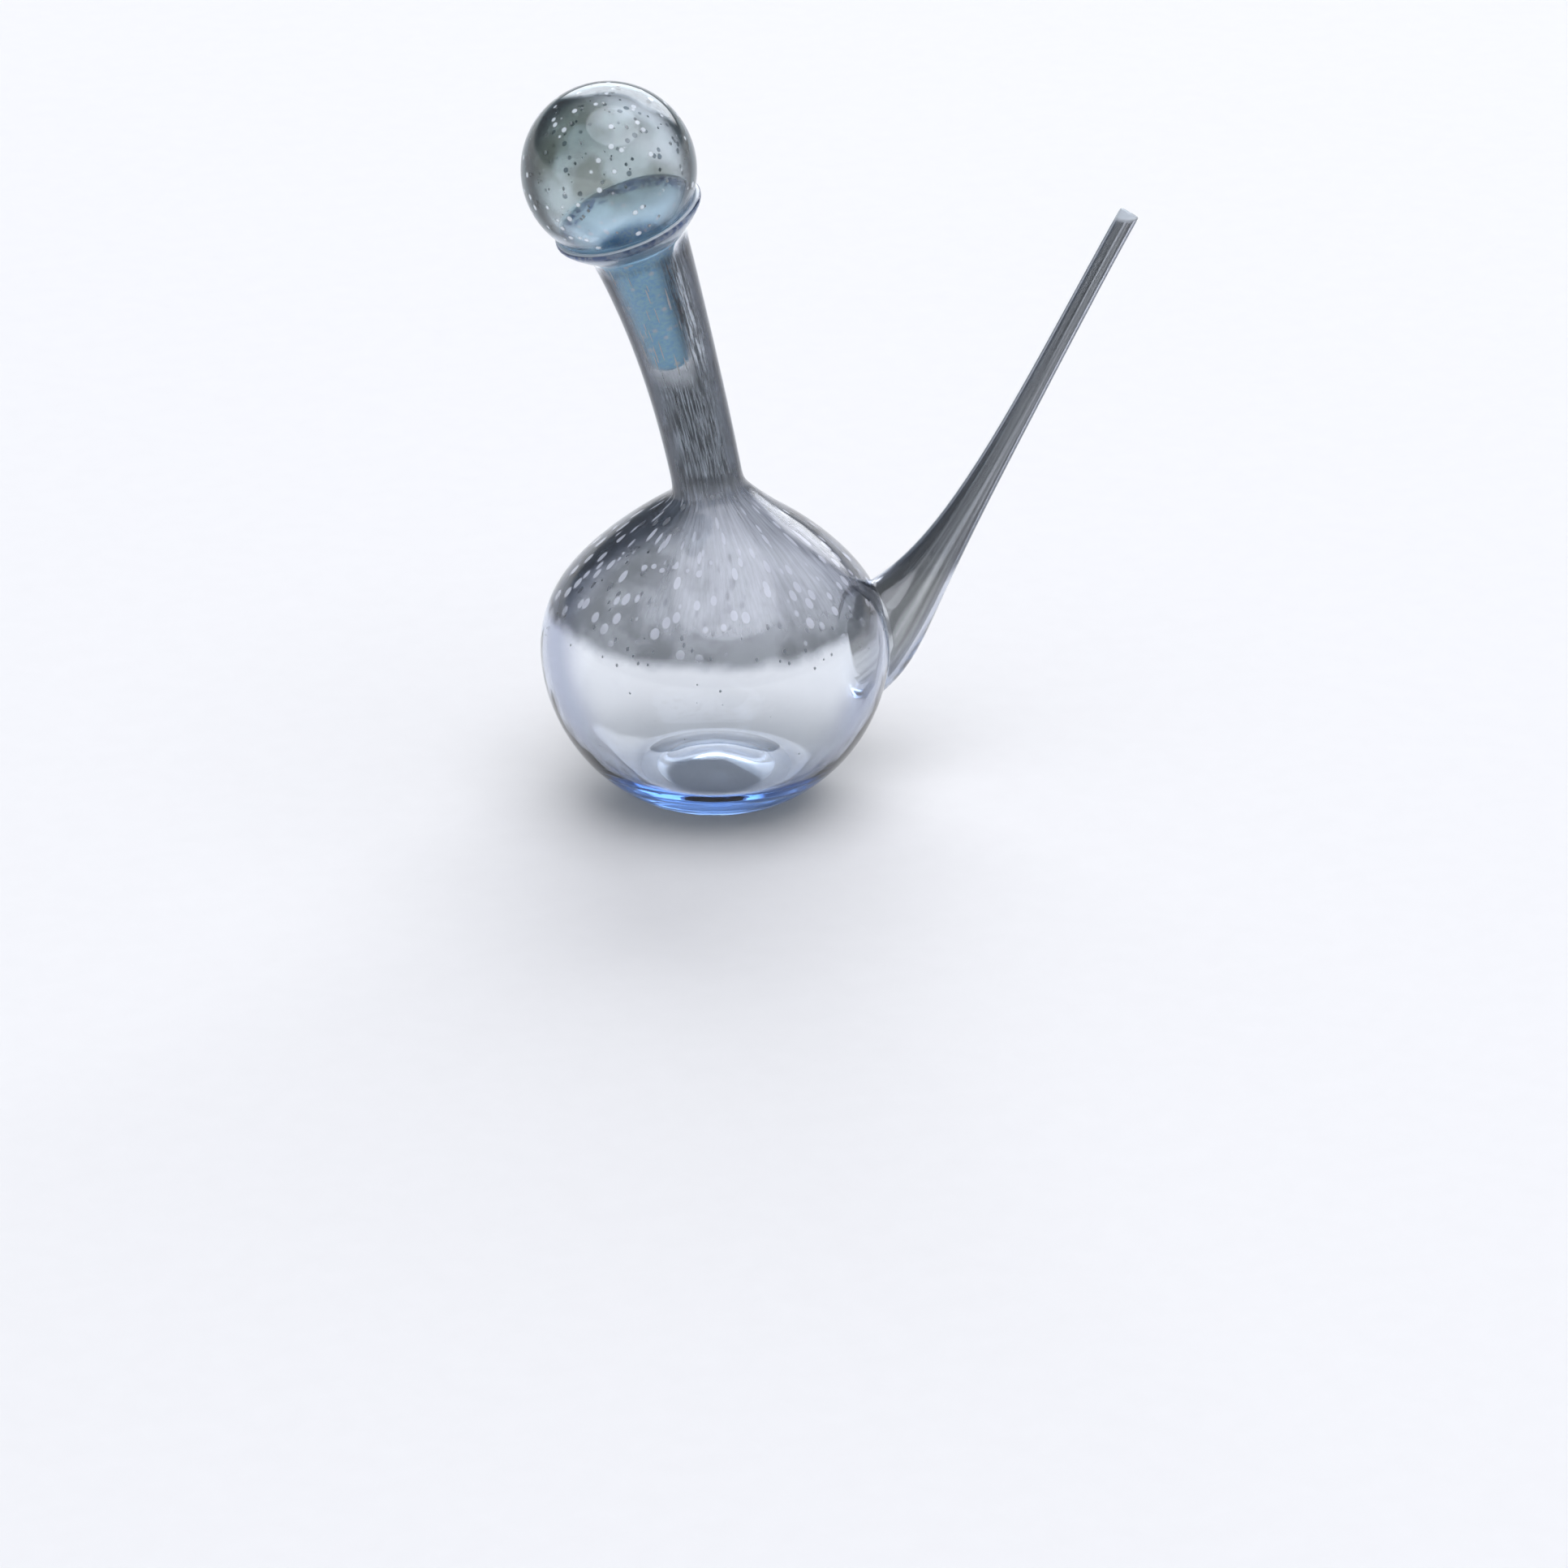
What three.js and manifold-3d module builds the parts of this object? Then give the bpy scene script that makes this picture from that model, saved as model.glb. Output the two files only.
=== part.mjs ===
// A blown-glass wine porron with a ball stopper. Millimetres, +Z up.
// The object is symmetrical about the XZ plane: the spout points to +X, the neck leans to -X.
// x = 0 is midway between the object's left side and the spout's tip, z = 0 is the table.
import * as THREE from 'three';
import { mergeVertices } from 'three/addons/utils/BufferGeometryUtils.js';
import Module from 'manifold-3d';

// Body: a bubble that is a little flatter above its widest ring than below it.
const BODY_R = 94.5;
const BODY_LOW = 93;
const BODY_HIGH = 75;
const BODY_Z = 82.5;
const BODY_WALL = 3;
const SHOULDER_RISE = 43;
const SHOULDER_PULL = 39;

// Foot: a ground ring round a pushed-in bottom, with thick glass over it.
const FOOT_R = 39;
const FOOT_RING = 3;
const FOOT_ROLL = 8;
const KICK_RISE = 9;
const FLOOR_THICK = 10;
const FLOOR_R = 56;
const BASE_THICK = 5.5;

// Neck: starts at the root ring, bends over to the left and widens to the mouth.
const ROOT_R = 19;
const ROOT_Z = 177;
const ROOT_PULL = 9;
const BEND_Z = 145;
const BEND_LOW = 26;
const BEND_HIGH = 68;
const NECK_TOP_R = 26.4;
const NECK_FLARE = 2.3;
const NECK_WALL = 2.8;

// Mouth: a bowl concentric with the ball of the stopper.
const MOUTH_X = -48;
const MOUTH_Z = 332.9;
const MOUTH_LEAN = 20.8;
const LIP_WALL = 4;
const SEAT_GAP = 0.3;
const SEAT_LOW_R = 28;

// Stopper: a hollow ball drawn out into a tapered shank, open at its lower end.
// It hangs a little more upright than the mouth, which the bowl's round seat allows.
const STOPPER_LEAN = 17.5;
const BALL_R = 45.6;
const BALL_RISE = 27;
const BALL_WALL = 2.6;
const SHANK_TOP_R = 19.4;
const SHANK_END_R = 11;
const SHANK_END = 117;
const SHANK_WALL = 3;
const SHANK_HOLE_R = 3.5;
const SHANK_FILLET = 4;

// Spout: a drawn tube, wide where it covers the hole in the body.
const SPOUT_BASE = [88.5, 72.5];
const SPOUT_BASE_LEAN = 67;
const SPOUT_BASE_PULL = 46;
const SPOUT_TIP = [242.6, 294.6];
const SPOUT_TIP_LEAN = 32;
const SPOUT_TIP_PULL = 82;
const SPOUT_ROOT_R = 32;
const SPOUT_TIP_R = 5.6;
const SPOUT_TAPER = 46;
const SPOUT_ROOT_WALL = 4.5;
const SPOUT_WALL = 1.5;
const SPOUT_WALL_FADE = 30;
const JOINT_GAP = 0.3;

// Facets.
const VESSEL_SIDES = 40;
const SPOUT_SIDES = 24;
const STOPPER_SIDES = 36;

const wasm = await Module();
wasm.setup();

// A point of the mirror plane, and a direction that leans from +Z towards +X.
const at = (x, z) => new THREE.Vector3(x, 0, z);
function leaning(degrees) {
  const angle = THREE.MathUtils.degToRad(degrees);
  return new THREE.Vector3(Math.sin(angle), 0, Math.cos(angle));
}
const step = (point, direction, length) => point.clone().addScaledVector(direction, length);

// Numbers from a to b in n steps, both ends included.
const span = (a, b, n) => Array.from({ length: n + 1 }, (_, i) => a + ((b - a) * i) / n);

// A ring of a loft: its centre, the direction it faces and its radius.
const ring = (centre, facing, radius) => ({ centre, facing, radius });

function ringPoint({ centre, facing, radius }, turn) {
  const across = new THREE.Vector3(facing.z, 0, -facing.x);
  const point = step(centre, across, radius * Math.cos(turn));
  return point.setY(radius * Math.sin(turn));
}

// Skins a row of rings. The row ends in points at both ends, or goes round to its first ring.
function loft(rings, sides, goesRound = false) {
  const positions = [];
  const faces = [];
  rings.forEach((r) => {
    for (let k = 0; k < sides; k += 1) {
      positions.push(...ringPoint(r, (k / sides) * 2 * Math.PI).toArray());
    }
  });
  const count = goesRound ? rings.length : rings.length - 1;
  for (let i = 0; i < count; i += 1) {
    const a = i * sides;
    const b = ((i + 1) % rings.length) * sides;
    const flatBelow = rings[i].radius === 0;
    const flatAbove = rings[(i + 1) % rings.length].radius === 0;
    for (let k = 0; k < sides; k += 1) {
      const next = (k + 1) % sides;
      if (!flatBelow) faces.push(a + k, a + next, b + next);
      if (!flatAbove) faces.push(a + k, b + next, b + k);
    }
  }
  const geometry = new THREE.BufferGeometry();
  geometry.setAttribute('position', new THREE.Float32BufferAttribute(positions, 3));
  geometry.setIndex(faces);
  return mergeVertices(geometry, 1e-4);
}

// Solids for cutting, and back again.
function toSolid(geometry) {
  const vertProperties = Float32Array.from(geometry.attributes.position.array);
  const triVerts = Uint32Array.from(geometry.index.array);
  return new wasm.Manifold(new wasm.Mesh({ numProp: 3, vertProperties, triVerts }));
}

function toGeometry(solid) {
  const { vertProperties, triVerts } = solid.getMesh();
  const geometry = new THREE.BufferGeometry();
  geometry.setAttribute('position', new THREE.BufferAttribute(vertProperties, 3));
  geometry.setIndex(new THREE.BufferAttribute(triVerts, 1));
  geometry.computeVertexNormals();
  return geometry;
}

// The mouth's axis, and the ball's centre on it.
const mouthAxis = leaning(-MOUTH_LEAN);
const mouthCentre = at(MOUTH_X, MOUTH_Z);
const ballCentre = step(mouthCentre, mouthAxis, BALL_RISE);

// The bowl is measured from the ball's centre: two radii and the angle up to its rim.
const bowlInner = BALL_R + SEAT_GAP;
const bowlOuter = bowlInner + LIP_WALL;
const bowlMid = (bowlInner + bowlOuter) / 2;
const rimAngle = Math.acos((BALL_RISE + LIP_WALL / 2) / bowlMid);
const neckTopDepth = Math.sqrt(bowlOuter ** 2 - NECK_TOP_R ** 2);
const neckTop = step(ballCentre, mouthAxis, -neckTopDepth);

// The vessel's centre line: upright to the bend, then a curve that ends on the mouth's axis.
const bend = new THREE.CubicBezierCurve3(
  at(0, BEND_Z),
  at(0, BEND_Z + BEND_LOW),
  step(neckTop, mouthAxis, -BEND_HIGH),
  neckTop,
);
const neckHeight = BEND_Z + bend.getLength();

// Rings turn with the line only from the neck's root on, so the wide shoulder stays level.
function vesselRing(height, radius) {
  if (height <= BEND_Z) return ring(at(0, height), leaning(0), radius);
  const share = Math.min(1, (height - BEND_Z) / (neckHeight - BEND_Z));
  const facing = bend.getTangentAt(share);
  const level = 1 - THREE.MathUtils.smoothstep(height, ROOT_Z - ROOT_R, ROOT_Z);
  return ring(bend.getPointAt(share), facing.lerp(leaning(0), level).normalize(), radius);
}

const bowlRing = (depth, radius) => ring(step(ballCentre, mouthAxis, -depth), mouthAxis, radius);

// The body's outline and its cavity are half ellipses: a point (radius, height) at a latitude.
const CAVITY_R = BODY_R - BODY_WALL;
const CAVITY_LOW = BODY_LOW - BASE_THICK;
const CAVITY_HIGH = BODY_HIGH - BODY_WALL;

function ellipsePoint(latitude, equator, low, high) {
  const half = latitude < 0 ? low : high;
  const rise = half * Math.sin(latitude);
  return new THREE.Vector2(equator * Math.cos(latitude), BODY_Z + rise);
}
const bodyPoint = (latitude) => ellipsePoint(latitude, BODY_R, BODY_LOW, BODY_HIGH);
const cavityPoint = (latitude) => ellipsePoint(latitude, CAVITY_R, CAVITY_LOW, CAVITY_HIGH);

// The direction in which a half ellipse climbs at a latitude.
function climb(latitude, equator, half) {
  const run = -equator * Math.sin(latitude);
  return new THREE.Vector2(run, half * Math.cos(latitude)).normalize();
}

const footLatitude = Math.asin((FOOT_ROLL - BODY_Z) / BODY_LOW);
const shoulderLatitude = Math.asin(SHOULDER_RISE / BODY_HIGH);
const floorLatitude = -Math.acos(FLOOR_R / CAVITY_R);

// The shoulder's profile leaves the body on its tangent and ends upright at the neck's root.
function shoulderCurve() {
  const start = bodyPoint(shoulderLatitude);
  const slope = climb(shoulderLatitude, BODY_R, BODY_HIGH);
  const startPull = start.clone().addScaledVector(slope, SHOULDER_PULL);
  const endPull = new THREE.Vector2(ROOT_R, ROOT_Z - ROOT_PULL);
  const end = new THREE.Vector2(ROOT_R, ROOT_Z);
  return new THREE.CubicBezierCurve(start, startPull, endPull, end);
}
const shoulder = shoulderCurve();

function shoulderPoint(share, inset) {
  const tangent = shoulder.getTangent(share);
  const inward = new THREE.Vector2(-tangent.y, tangent.x);
  return shoulder.getPoint(share).addScaledVector(inward, inset);
}

function neckRadius(height) {
  const share = (height - ROOT_Z) / (neckHeight - ROOT_Z);
  return ROOT_R + (NECK_TOP_R - ROOT_R) * share ** NECK_FLARE;
}

// A ring at a point (radius, height) of the vessel's profile.
const profileRing = (point) => vesselRing(point.y, point.x);

// The outside from the middle of the pushed-in bottom to the bowl, grown by an offset.
function outsideRings(grow) {
  const flat = FOOT_R - FOOT_RING;
  const kick = span(0, flat, 5).map((r) => {
    const rise = Math.cos((Math.PI / 2) * (r / flat)) ** 2;
    return vesselRing(KICK_RISE * rise - grow, r);
  });
  const roll = span(0, 1, 4).map((t) => {
    const point = footRoll().getPoint(t);
    return vesselRing(point.y - grow * (1 - t), point.x + grow * t);
  });
  const body = span(footLatitude, shoulderLatitude, 12).slice(1, -1).map((latitude) => {
    const point = bodyPoint(latitude);
    return vesselRing(point.y, point.x + grow);
  });
  const rise = span(0, 1, 8).map((t) => profileRing(shoulderPoint(t, -grow)));
  const neck = span(ROOT_Z, neckHeight, 8).slice(1);
  const neckRings = neck.map((height) => vesselRing(height, neckRadius(height) + grow));
  return [...kick, ...roll, ...body, ...rise, ...neckRings];
}

// The foot's outer edge rolls from the flat ring up onto the body, along its tangent.
function footRoll() {
  const top = bodyPoint(footLatitude);
  const slope = climb(footLatitude, BODY_R, BODY_LOW);
  const corner = new THREE.Vector2(top.x - (slope.x / slope.y) * top.y, 0);
  return new THREE.QuadraticBezierCurve(new THREE.Vector2(FOOT_R, 0), corner, top);
}

// The bowl's outside, its rolled rim and the seat that the ball rests in.
function mouthRings() {
  const lowAngle = Math.asin(NECK_TOP_R / bowlOuter);
  const outer = span(lowAngle, rimAngle, 4).slice(1);
  const outerRings = outer.map((angle) => bowlArc(angle, bowlOuter));
  const rim = span(0, Math.PI, 5).slice(1, -1).map((turn) => {
    const reach = bowlMid + (LIP_WALL / 2) * Math.cos(turn);
    const up = (LIP_WALL / 2) * Math.sin(turn);
    const radius = reach * Math.sin(rimAngle) + up * Math.cos(rimAngle);
    const depth = reach * Math.cos(rimAngle) - up * Math.sin(rimAngle);
    return bowlRing(depth, radius);
  });
  const seat = span(rimAngle, Math.asin(SEAT_LOW_R / bowlInner), 3);
  return [...outerRings, ...rim, ...seat.map((angle) => bowlArc(angle, bowlInner))];
}

const bowlArc = (angle, reach) => bowlRing(reach * Math.cos(angle), reach * Math.sin(angle));

// The inside from the neck's top down to the middle of the floor.
function insideRings() {
  const neck = span(neckHeight, ROOT_Z, 8).slice(0, -1);
  const neckRings = neck.map((height) => vesselRing(height, neckRadius(height) - NECK_WALL));
  const drop = span(1, 0, 8).map((t) => {
    const wall = THREE.MathUtils.lerp(BODY_WALL, NECK_WALL, t);
    return profileRing(shoulderPoint(t, wall));
  });
  const cavity = span(shoulderLatitude, floorLatitude, 12).slice(1, -1);
  const cavityRings = cavity.map((latitude) => profileRing(cavityPoint(latitude)));
  return [...neckRings, ...drop, ...cavityRings, ...floorCurve().getPoints(7).map(profileRing)];
}

// The floor runs on from the cavity's wall and rises in its middle over the pushed-in bottom.
function floorCurve() {
  const edge = cavityPoint(floorLatitude);
  const slope = climb(floorLatitude, CAVITY_R, CAVITY_LOW);
  const inward = edge.clone().addScaledVector(slope, -FLOOR_R / 3);
  const top = new THREE.Vector2(0, KICK_RISE + FLOOR_THICK);
  const level = new THREE.Vector2(FLOOR_R / 3, top.y);
  return new THREE.CubicBezierCurve(edge, inward, level, top);
}

// The spout's centre line. A negative length lies inside the body, along the first tangent.
const spoutAxis = leaning(SPOUT_BASE_LEAN);
const spoutTipAxis = leaning(SPOUT_TIP_LEAN);
const spoutCurve = new THREE.CubicBezierCurve3(
  at(...SPOUT_BASE),
  step(at(...SPOUT_BASE), spoutAxis, SPOUT_BASE_PULL),
  step(at(...SPOUT_TIP), spoutTipAxis, -SPOUT_TIP_PULL),
  at(...SPOUT_TIP),
);
const spoutLength = spoutCurve.getLength();
const tipWall = SPOUT_WALL / 2;

function spoutRing(length, radius) {
  if (length <= 0) return ring(step(at(...SPOUT_BASE), spoutAxis, length), spoutAxis, radius);
  const share = Math.min(1, length / spoutLength);
  return ring(spoutCurve.getPointAt(share), spoutCurve.getTangentAt(share), radius);
}

function spoutRadius(length) {
  const fade = Math.exp(-Math.max(0, length) / SPOUT_TAPER);
  return SPOUT_TIP_R + (SPOUT_ROOT_R - SPOUT_TIP_R) * fade;
}

function boreRadius(length) {
  const fade = Math.exp(-Math.max(0, length) / SPOUT_WALL_FADE);
  return spoutRadius(length) - SPOUT_WALL - (SPOUT_ROOT_WALL - SPOUT_WALL) * fade;
}

// The spout starts this far inside the body, so that its root is cut all round.
const spoutStart = -BODY_R / 4;

// Lengths along the spout, close together where it flares.
function spoutLengths(last) {
  const flare = span(0, 1, 15).map((t) => last * t ** 1.6);
  return [spoutStart, ...flare];
}

function spoutRings() {
  const last = spoutLength - tipWall;
  const outer = spoutLengths(last).map((length) => spoutRing(length, spoutRadius(length)));
  const rim = span(0, Math.PI, 4).slice(1, -1).map((turn) => {
    const radius = spoutRadius(last) - tipWall + tipWall * Math.cos(turn);
    return spoutRing(last + tipWall * Math.sin(turn), radius);
  });
  const inner = spoutLengths(last).map((length) => spoutRing(length, boreRadius(length)));
  return [...outer, ...rim, ...inner.reverse()];
}

// A plug of the spout's bore, long enough to pass through the body's wall.
function holeCutter() {
  const lengths = [2 * spoutStart, ...span(0, BODY_R / 4, 6)];
  const rings = lengths.map((length) => spoutRing(length, boreRadius(length)));
  const first = { ...rings[0], radius: 0 };
  const last = { ...rings.at(-1), radius: 0 };
  return toSolid(loft([first, ...rings, last], SPOUT_SIDES));
}

function vesselGeometry() {
  const skin = loft([...outsideRings(0), ...mouthRings(), ...insideRings()], VESSEL_SIDES);
  return toGeometry(toSolid(skin).subtract(holeCutter()));
}

function spoutGeometry() {
  const outside = outsideRings(JOINT_GAP);
  const envelope = loft([...outside, { ...outside.at(-1), radius: 0 }], VESSEL_SIDES);
  const tube = toSolid(loft(spoutRings(), SPOUT_SIDES, true));
  return toGeometry(tube.subtract(toSolid(envelope)));
}

// The shank's radius at a height under the ball's centre.
const shankBend = SHANK_END_R - SHANK_HOLE_R;
const shankLow = shankBend - SHANK_END;
const shankTop = -Math.sqrt(BALL_R ** 2 - SHANK_TOP_R ** 2);

function shankPoint(height, inset) {
  const share = (height - shankLow) / (shankTop - shankLow);
  return new THREE.Vector2(THREE.MathUtils.lerp(SHANK_END_R, SHANK_TOP_R, share) - inset, height);
}

// The stopper's profile (radius, height), down its hollow and up its outside to the ball's top.
function stopperProfile() {
  const throat = Math.asin((SHANK_TOP_R - SHANK_WALL) / (BALL_R - BALL_WALL));
  const hollow = span(Math.PI, throat, 13).map((angle) => ballPoint(angle, BALL_R - BALL_WALL));
  const inner = span(shankTop, shankLow, 3).slice(1).map((z) => shankPoint(z, SHANK_WALL));
  const innerEnd = roundEnd(shankBend - SHANK_WALL);
  const outerEnd = roundEnd(shankBend).reverse();
  const outer = span(shankLow, shankTop, 3).slice(1, -1).map((z) => shankPoint(z, 0));
  const blendAngle = Math.asin((SHANK_TOP_R + SHANK_FILLET) / BALL_R);
  const blend = new THREE.QuadraticBezierCurve(
    shankPoint(shankTop - SHANK_FILLET, 0),
    shankPoint(shankTop, 0),
    ballPoint(blendAngle, BALL_R),
  );
  const ball = span(blendAngle, Math.PI, 15).slice(1).map((angle) => ballPoint(angle, BALL_R));
  return [...hollow, ...inner, ...innerEnd, ...outerEnd, ...outer, ...blend.getPoints(3), ...ball];
}

const ballPoint = (angle, reach) =>
  new THREE.Vector2(Math.abs(reach * Math.sin(angle)), -reach * Math.cos(angle));

// A quarter circle from the shank's side to the edge of its hole.
function roundEnd(reach) {
  return span(0, Math.PI / 2, 4).slice(1).map((turn) => {
    const radius = SHANK_HOLE_R + reach * Math.cos(turn);
    return new THREE.Vector2(radius, shankLow - reach * Math.sin(turn));
  });
}

function stopperGeometry() {
  const lathe = new THREE.LatheGeometry(stopperProfile(), STOPPER_SIDES);
  lathe.deleteAttribute('normal');
  lathe.deleteAttribute('uv');
  const geometry = mergeVertices(lathe.rotateX(Math.PI / 2), 1e-4);
  const faces = [];
  const index = geometry.index.array;
  for (let i = 0; i < index.length; i += 3) {
    const [a, b, c] = index.slice(i, i + 3);
    if (a !== b && b !== c && c !== a) faces.push(a, b, c);
  }
  geometry.setIndex(faces);
  geometry.computeVertexNormals();
  return geometry;
}

function glass(name, geometry, color, roughness) {
  const material = new THREE.MeshStandardMaterial({
    color,
    roughness,
    metalness: 0,
    transparent: true,
    opacity: 0.35,
  });
  const mesh = new THREE.Mesh(geometry, material);
  mesh.name = name;
  return mesh;
}

const vessel = glass('vessel', vesselGeometry(), 0xc3d0e2, 0.04);
const spout = glass('spout', spoutGeometry(), 0xaebccd, 0.04);
const stopper = glass('stopper', stopperGeometry(), 0xb5cadf, 0.12);

// The stopper is turned about the ball's centre, which lies on the mouth's axis.
stopper.position.copy(ballCentre);
stopper.rotation.y = THREE.MathUtils.degToRad(-STOPPER_LEAN);

// The ball or the body reaches furthest to the left, and the spout's tip to the right.
const leftReach = Math.min(-BODY_R, ballCentre.x - BALL_R);
const rightReach = SPOUT_TIP[0] + SPOUT_TIP_R * spoutTipAxis.z;

const porron = new THREE.Group();
porron.name = 'porron';
porron.add(vessel, spout, stopper);
porron.position.x = -(leftReach + rightReach) / 2;
porron.updateMatrixWorld(true);

export default porron;
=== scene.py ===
import math
import random

import bpy
from mathutils import Matrix, Vector


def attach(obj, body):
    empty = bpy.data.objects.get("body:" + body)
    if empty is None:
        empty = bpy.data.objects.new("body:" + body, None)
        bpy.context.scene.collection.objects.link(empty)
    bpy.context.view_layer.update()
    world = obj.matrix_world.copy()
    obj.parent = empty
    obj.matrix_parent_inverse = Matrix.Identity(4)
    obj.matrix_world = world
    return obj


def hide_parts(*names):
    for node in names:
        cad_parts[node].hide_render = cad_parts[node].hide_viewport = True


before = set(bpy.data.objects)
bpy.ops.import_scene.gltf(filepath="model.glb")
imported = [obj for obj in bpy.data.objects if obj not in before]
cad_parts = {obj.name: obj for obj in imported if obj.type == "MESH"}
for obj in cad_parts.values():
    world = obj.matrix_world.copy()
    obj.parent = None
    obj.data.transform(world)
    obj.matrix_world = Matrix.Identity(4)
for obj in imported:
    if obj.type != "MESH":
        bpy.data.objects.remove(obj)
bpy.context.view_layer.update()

scene = bpy.context.scene

# Camera. It looks down at the porron from its front left, from 3 m away, so the body stays round
# and the spout leans out to the right.
camera = bpy.data.objects.new("camera", bpy.data.cameras.new("camera"))
scene.collection.objects.link(camera)
camera.location = (-1.09692, -2.50926, 1.26286)
camera.rotation_euler = (math.radians(65), 0, math.radians(-23))
camera.data.sensor_width = 36
camera.data.lens = 125.81
camera.data.clip_end = 50
scene.camera = camera


# Vessel. One bubble of glass: blown round, its bottom pushed in, its neck drawn out and leaned
# over, and its mouth opened into a bowl that the stopper's ball sits in. The spout is a second
# gather, fused hot over a hole in the side, so vessel and spout are one skin of glass.
FOOT_X = -0.07208
VESSEL_SIDES = 64
WIDEST_AT = 82.5
BODY_REACH, BODY_BELOW, BODY_ABOVE = 94.5, 93, 75
CAVITY_REACH, CAVITY_BELOW, CAVITY_ABOVE = 91.5, 87.5, 72


# Radius in mm of the blown body, and of the hollow in it, at a height in mm.
def body_radius(z):
    half_height = BODY_BELOW if z < WIDEST_AT else BODY_ABOVE
    return BODY_REACH * math.sqrt(1 - ((z - WIDEST_AT) / half_height) ** 2)


def cavity_radius(z):
    half_height = CAVITY_BELOW if z < WIDEST_AT else CAVITY_ABOVE
    return CAVITY_REACH * math.sqrt(1 - ((z - WIDEST_AT) / half_height) ** 2)


# Rings in mm, from the foot's centre: x, z, lean in degrees, radius.
pushed_in_bottom = [
    (0, 8.85, 0, 3), (0, 7.68, 0, 9), (0, 5.28, 0, 16), (0, 2.6, 0, 23), (0, 0.6, 0, 30),
    (0, 0, 0, 35), (0, 0, 0, 37), (0, 0, 0, 39.2), (0, 0.5, 0, 42.6), (0, 2, 0, 46.73),
    (0, 4.5, 0, 51.39), (0, 8, 0, 56.56)]
body = [(0, z, 0, body_radius(z)) for z in
        (14, 21, 28, 36, 44, 52, 60, 68, 76, 84, 92, 100, 108, 116.5, 125.5)]
shoulder = [
    (0, 135.74, 0, 67.51), (0, 144.62, 0, 57.42), (-0.34, 152.27, 0, 47.6),
    (-1.01, 158.8, 0, 38.54), (-1.74, 164.37, -2.15, 30.69), (-2.44, 169.13, -5.63, 24.5),
    (-3.1, 173.21, -8.53, 20.45), (-3.7, 176.75, -9.86, 19)]
neck = [
    (-5.3, 185.8, -10.8, 18.95), (-7.15, 194.83, -11.64, 19.06), (-11.08, 212.81, -12.99, 19.31),
    (-15.4, 230.69, -14.16, 19.78), (-20.07, 248.49, -15.28, 20.5),
    (-25.1, 266.19, -16.42, 21.51), (-30.49, 283.79, -17.66, 22.82),
    (-36.28, 301.25, -19.08, 24.44), (-40.5, 312.9, -20.3, 25.7), (-42.55, 318.56, -20.8, 26.7)]
bowl_and_rim = [
    (-43.46, 320.96, -20.8, 30.13), (-44.49, 323.66, -20.8, 33.61),
    (-45.63, 326.65, -20.8, 36.81), (-46.7, 329.5, -20.8, 39.5), (-47.27, 330.99, -20.8, 40.2),
    (-47.69, 332.1, -20.8, 39.85), (-47.99, 332.9, -20.8, 38.8), (-48.0, 332.92, -20.8, 37.55),
    (-47.72, 332.16, -20.8, 36.5), (-46.62, 329.26, -20.8, 33.94), (-45.6, 326.58, -20.8, 31.09),
    (-44.67, 324.14, -20.8, 28.2)]
inside_neck = [
    (-43.6, 321.3, -20.8, 25.0), (-42.3, 317.9, -20.8, 23.7), (-36.28, 301.25, -19.08, 21.64),
    (-30.49, 283.79, -17.66, 20.02), (-25.1, 266.19, -16.42, 18.71),
    (-20.07, 248.49, -15.28, 17.7), (-15.4, 230.69, -14.16, 16.98),
    (-11.08, 212.81, -12.99, 16.51), (-7.15, 194.83, -11.64, 16.26), (-3.7, 176.75, -9.86, 16.2),
    (-2.83, 171.55, -7.45, 18.18), (-2.12, 166.99, -3.97, 22.65), (-1.42, 162.07, -0.92, 28.99),
    (-0.74, 156.45, 0, 36.86), (-0.17, 149.93, 0, 45.86), (0, 142.34, 0, 55.54),
    (0, 133.58, 0, 65.47), (0, 123.52, 0, 75.18)]
cavity = [(0, z, 0, cavity_radius(z)) for z in
          (115, 106.5, 98, 90.5, 83, 75.5, 68, 60.5, 53, 45.5, 38, 31, 24.5)]
floor_rise = [
    (0, 19, 0, 61.3), (0, 14.9, 0, 56), (0, 12, 0, 50.6), (0, 10.6, 0, 46.4), (0, 10.3, 0, 43.5),
    (0, 10.6, 0, 40), (0, 11.4, 0, 35), (0, 12.7, 0, 30), (0, 14.3, 0, 24.5), (0, 16.3, 0, 18.5),
    (0, 17.9, 0, 12.5), (0, 18.8, 0, 6.2), (0, 19, 0, 3)]


# A place in mm from the foot's centre, and back from it to metres on the mirror plane.
def in_mm(place):
    return (place.x - FOOT_X) * 1000, place.y * 1000, place.z * 1000


def on_mirror_plane(x, z):
    return Vector((FOOT_X + x / 1000, 0, z / 1000))


def nothing_selected():
    if bpy.context.object and bpy.context.object.mode != "OBJECT":
        bpy.ops.object.mode_set(mode="OBJECT")
    bpy.ops.object.select_all(action="DESELECT")


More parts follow.
